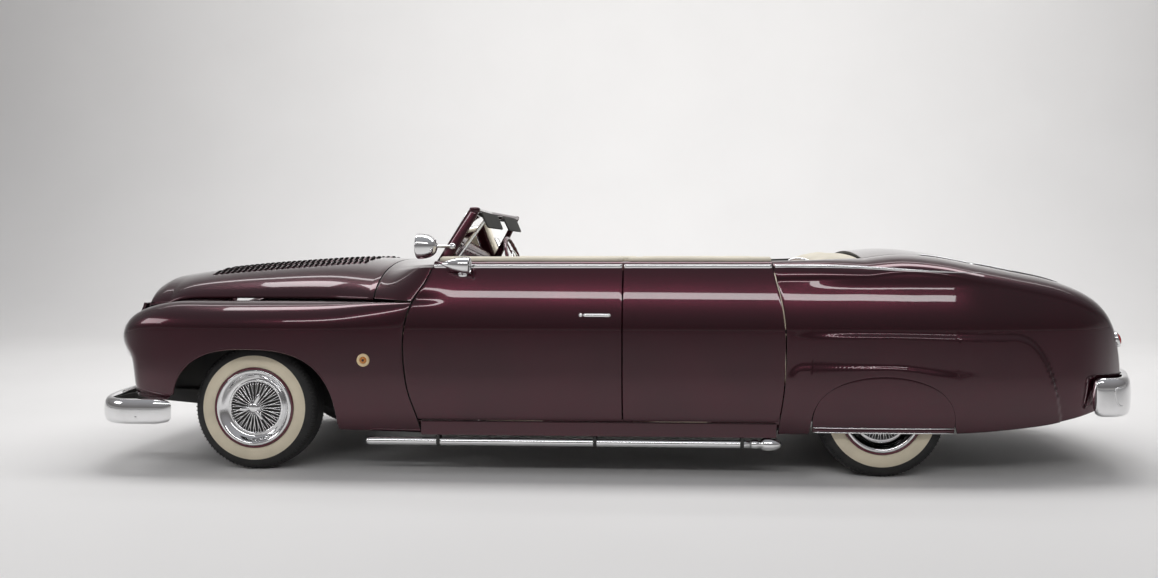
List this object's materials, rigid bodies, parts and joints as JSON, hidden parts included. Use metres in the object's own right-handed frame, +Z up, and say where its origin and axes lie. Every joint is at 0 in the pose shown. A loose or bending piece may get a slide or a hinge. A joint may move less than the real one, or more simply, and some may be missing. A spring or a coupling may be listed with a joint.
{
  "type": "four-door convertible car",
  "caption": "Lowered, lengthened convertible car with hinged doors, hood and deck lid, steered front wheels and skirted rear wheels.",
  "frame": {"origin": "on the ground under the middle of the car's box", "axes": "+X towards the tail, +Y towards the car's right side, +Z up"},
  "size_m": [6, 1.93, 1.487],
  "materials": {
    "body_paint": "gloss metallic",
    "bright_metal": "polished",
    "tyre": "matt black with a wide cream sidewall",
    "upholstery": "cream, satin",
    "clear_glass": "clear",
    "wheel_rim_plastic": "burgundy gloss",
    "engine_iron": "satin",
    "chassis_black": "satin black"
  },
  "bodies": {
    "body": {"chassis_frame": "chassis_black", "engine_block": "engine_iron", "floor_pan": "chassis_black", "inner_fenders": "chassis_black", "firewall": "chassis_black", "cowl": "body_paint", "front_panel": "body_paint", "grille": "bright_metal", "front_fender_left": "body_paint", "front_fender_right": "body_paint", "quarter_left": "body_paint", "quarter_right": "body_paint", "fender_skirts": "body_paint", "rear_panel": "body_paint", "tonneau_panel": "body_paint", "door_frames": "body_paint", "front_bumper": "bright_metal", "rear_bumper": "bright_metal", "headlights": "bright_metal", "windshield_frame": "body_paint", "windshield_glass": "clear_glass", "spotlights": "bright_metal", "lake_pipes": "bright_metal", "dashboard": "body_paint", "front_seat": "upholstery", "rear_seat": "upholstery", "top_boot": "upholstery", "rear_axle": "chassis_black"},
    "deck_lid": {"deck_lid": "body_paint"},
    "front_door_left": {"front_door_left": "body_paint"},
    "front_door_right": {"front_door_right": "body_paint"},
    "hood": {"hood": "body_paint"},
    "knuckle_left": {"knuckle_left": "chassis_black"},
    "knuckle_right": {"knuckle_right": "chassis_black"},
    "rear_door_left": {"rear_door_left": "body_paint"},
    "rear_door_right": {"rear_door_right": "body_paint"},
    "steering_wheel": {"steering_wheel": "wheel_rim_plastic"},
    "roadwheel_front_left": {"tyre_front_left": "tyre", "wheel_front_left": "bright_metal"},
    "roadwheel_front_right": {"tyre_front_right": "tyre", "wheel_front_right": "bright_metal"},
    "roadwheel_rear_left": {"tyre_rear_left": "tyre", "wheel_rear_left": "bright_metal"},
    "roadwheel_rear_right": {"tyre_rear_right": "tyre", "wheel_rear_right": "bright_metal"}
  },
  "joints": [
    {"name": "front_door_left_hinge", "type": "hinge", "parent": "body", "child": "front_door_left", "pos_m": [-1.123, -0.955, 0.75], "axis": [0, 0, -1], "range_deg": [0, 60]},
    {"name": "front_door_right_hinge", "type": "hinge", "parent": "body", "child": "front_door_right", "pos_m": [-1.123, 0.955, 0.75], "axis": [0, 0, 1], "range_deg": [0, 60]},
    {"name": "rear_door_left_hinge", "type": "hinge", "parent": "body", "child": "rear_door_left", "pos_m": [0.944, -0.955, 0.75], "axis": [0, 0, 1], "range_deg": [0, 60]},
    {"name": "rear_door_right_hinge", "type": "hinge", "parent": "body", "child": "rear_door_right", "pos_m": [0.944, 0.955, 0.75], "axis": [0, 0, -1], "range_deg": [0, 60]},
    {"name": "hood_hinge", "type": "hinge", "parent": "body", "child": "hood", "pos_m": [-1.33, 0, 1.18], "axis": [0, 1, 0], "range_deg": [0, 45]},
    {"name": "deck_lid_hinge", "type": "hinge", "parent": "body", "child": "deck_lid", "pos_m": [2, 0, 1.195], "axis": [0, -1, 0], "range_deg": [0, 45]},
    {"name": "steer_left", "type": "hinge", "parent": "body", "child": "knuckle_left", "pos_m": [-2.005, -0.6, 0.35], "axis": [0, 0, 1], "range_deg": [-28, 28]},
    {"name": "steer_right", "type": "hinge", "parent": "body", "child": "knuckle_right", "pos_m": [-2.005, 0.6, 0.35], "axis": [0, 0, 1], "range_deg": [-28, 28]},
    {"name": "steering_wheel_turn", "type": "hinge", "parent": "body", "child": "steering_wheel", "pos_m": [-0.6, -0.38, 1.115], "axis": [0.9511, 0, 0.309], "range_deg": [-504, 504]},
    {"name": "spin_front_left", "type": "hinge", "parent": "knuckle_left", "child": "roadwheel_front_left", "pos_m": [-2.005, -0.755, 0.35], "axis": [0, 1, 0], "continuous": true},
    {"name": "spin_front_right", "type": "hinge", "parent": "knuckle_right", "child": "roadwheel_front_right", "pos_m": [-2.005, 0.755, 0.35], "axis": [0, 1, 0], "continuous": true},
    {"name": "spin_rear_left", "type": "hinge", "parent": "body", "child": "roadwheel_rear_left", "pos_m": [1.469, -0.77, 0.35], "axis": [0, 1, 0], "continuous": true},
    {"name": "spin_rear_right", "type": "hinge", "parent": "body", "child": "roadwheel_rear_right", "pos_m": [1.469, 0.77, 0.35], "axis": [0, 1, 0], "continuous": true}
  ],
  "couplings": [
    {"joint": "steer_right", "follows": "steer_left", "ratio": 1},
    {"joint": "steering_wheel_turn", "follows": "steer_left", "ratio": 18}
  ]
}
